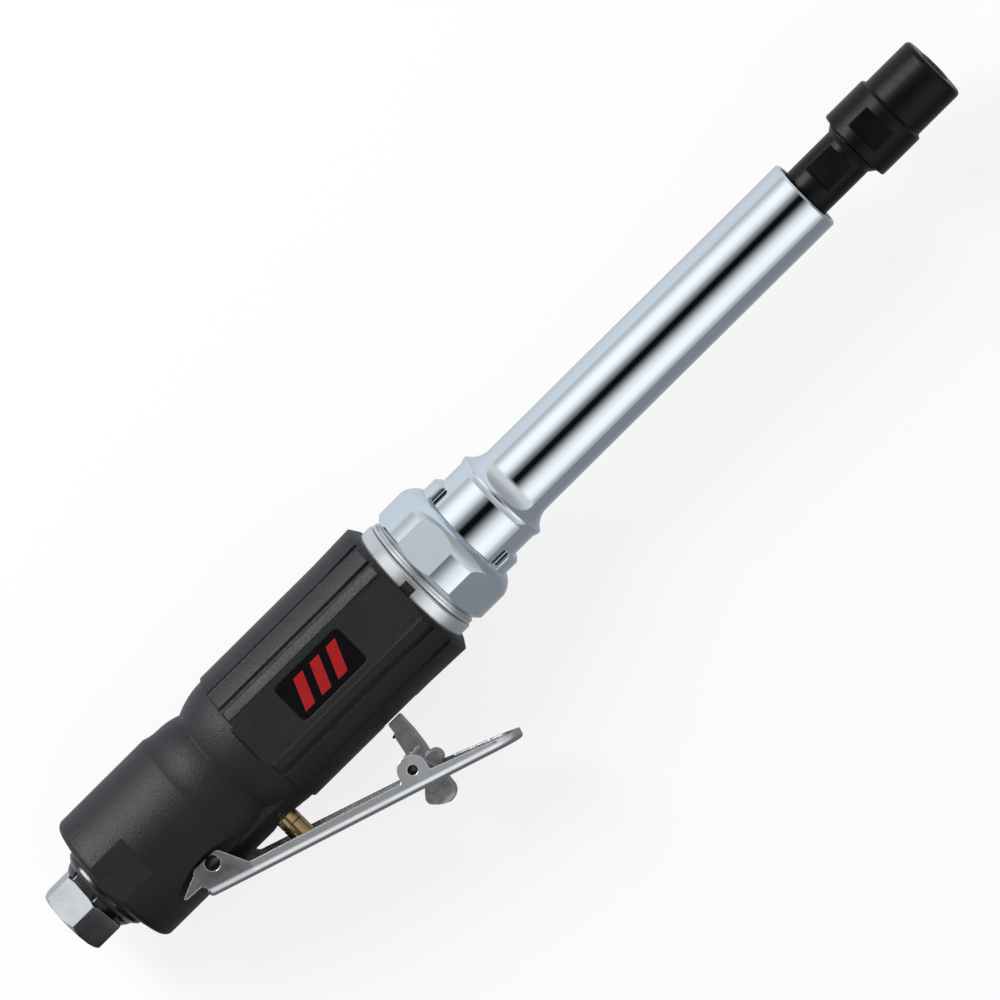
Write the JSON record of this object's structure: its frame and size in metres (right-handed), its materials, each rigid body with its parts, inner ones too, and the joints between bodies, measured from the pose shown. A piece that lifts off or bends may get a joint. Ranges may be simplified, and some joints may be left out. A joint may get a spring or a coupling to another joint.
{
  "type": "air die grinder",
  "caption": "Long-reach pneumatic die grinder with a cylindrical grip, squeeze throttle lever with folding safety latch, slim extension tube and collet.",
  "frame": {"origin": "centre of the air inlet's rear face, on the spindle axis", "axes": "+X along the spindle from the air inlet to the collet; +Z out of the label side; the throttle lever hangs towards -Y"},
  "size_m": [0.3202, 0.0708, 0.0418],
  "materials": {
    "zinc_plate": "zinc-plated turned steel, satin, faint warm tint",
    "black_gloss": "glossy moulded black nylon",
    "housing_composite": "fine-textured satin black composite",
    "label_black": "gloss black printed plate with three plain slanted red stripes",
    "felt": "pressed grey felt",
    "mesh_steel": "perforated stainless sheet",
    "lever_zinc": "pressed sheet steel, bright zinc plating",
    "pin_steel": "bright spring steel",
    "latch_zinc": "investment-cast steel, dull zinc plating",
    "spring_dark": "black oxide spring wire",
    "brass": "turned brass",
    "nitrile": "nitrile rubber",
    "acetal": "natural acetal",
    "spring_steel": "bright spring wire",
    "gasket": "fibre gasket",
    "motor_iron": "ground cast iron",
    "rotor_steel": "ground alloy steel",
    "vane_resin": "cotton-filled phenolic",
    "bearing_steel": "ground bearing steel",
    "collar_steel": "turned zinc-plated steel",
    "nut_chrome": "bright nickel-chrome plate",
    "tube_chrome": "ground and chrome-plated steel",
    "black_oxide": "oiled black oxide steel",
    "collet_steel": "hardened spring steel, dark grey"
  },
  "bodies": {
    "handle": {"handle_housing": "housing_composite", "inlet_bushing": "zinc_plate", "inlet_screen": "mesh_steel", "neck_collar": "black_gloss", "silencer_ring": "felt", "label_plate": "label_black", "lever_pin": "pin_steel", "valve_bushing": "brass", "valve_seat": "brass", "valve_spring": "spring_steel", "rear_gasket": "gasket", "rear_end_plate": "motor_iron", "motor_cylinder": "motor_iron", "front_end_plate": "motor_iron", "alignment_dowel": "pin_steel", "front_collar": "collar_steel", "nut_washer": "collar_steel", "clamp_nut": "nut_chrome", "extension_tube": "tube_chrome", "bearing_retainer": "black_oxide", "rear_bearing_outer_ring": "bearing_steel", "front_bearing_outer_ring": "bearing_steel", "tube_rear_bearing_outer_ring": "bearing_steel", "tube_front_bearing_outer_ring": "bearing_steel"},
    "lever": {"throttle_lever": "lever_zinc", "latch_pin": "pin_steel"},
    "latch": {"safety_latch": "latch_zinc", "latch_spring": "spring_dark"},
    "valve": {"valve_stem": "brass", "stem_o_ring": "nitrile", "valve_poppet": "acetal"},
    "spindle": {"rotor": "rotor_steel", "rotor_vanes": "vane_resin", "drive_coupling": "rotor_steel", "output_spindle": "black_oxide", "spacer_sleeve": "rotor_steel", "rear_bearing_inner_ring": "bearing_steel", "front_bearing_inner_ring": "bearing_steel", "tube_rear_bearing_inner_ring": "bearing_steel", "tube_front_bearing_inner_ring": "bearing_steel", "rear_bearing_balls": "bearing_steel", "front_bearing_balls": "bearing_steel", "tube_rear_bearing_balls": "bearing_steel", "tube_front_bearing_balls": "bearing_steel"},
    "collet": {"collet": "collet_steel"},
    "collet_nut": {"collet_nut": "black_oxide"}
  },
  "joints": [
    {"name": "throttle_squeeze", "type": "hinge", "parent": "handle", "child": "lever", "pos_m": [0.0398, -0.0151, 0], "axis": [0, 0, 1], "range_deg": [0, 6], "stiffness_Nm_per_rad": 0.4, "springref_deg": -20.05},
    {"name": "latch_fold", "type": "hinge", "parent": "lever", "child": "latch", "pos_m": [0.09392, -0.03465, 0], "axis": [0, 0, -1], "range_deg": [0, 51]},
    {"name": "valve_slide", "type": "slide", "parent": "handle", "child": "valve", "axis": [0, 1, 0], "range_m": [0, 0.0026], "deforming": ["valve_spring"]},
    {"name": "spindle_spin", "type": "hinge", "parent": "handle", "child": "spindle", "pos_m": [0, 0, 0], "axis": [1, 0, 0], "continuous": true},
    {"name": "collet_slide", "type": "slide", "parent": "spindle", "child": "collet", "axis": [1, 0, 0], "range_m": [0, 0.0015]},
    {"name": "nut_turn", "type": "hinge", "parent": "collet", "child": "collet_nut", "pos_m": [0.3, 0, 0], "axis": [1, 0, 0], "range_deg": [0, 541]}
  ],
  "couplings": [
    {"joint": "latch_fold", "follows": "throttle_squeeze", "ratio": 8.5},
    {"joint": "valve_slide", "follows": "throttle_squeeze", "m_per_rad": 0.0236},
    {"joint": "nut_turn", "follows": "collet_slide", "rad_per_m": 6283.2}
  ]
}
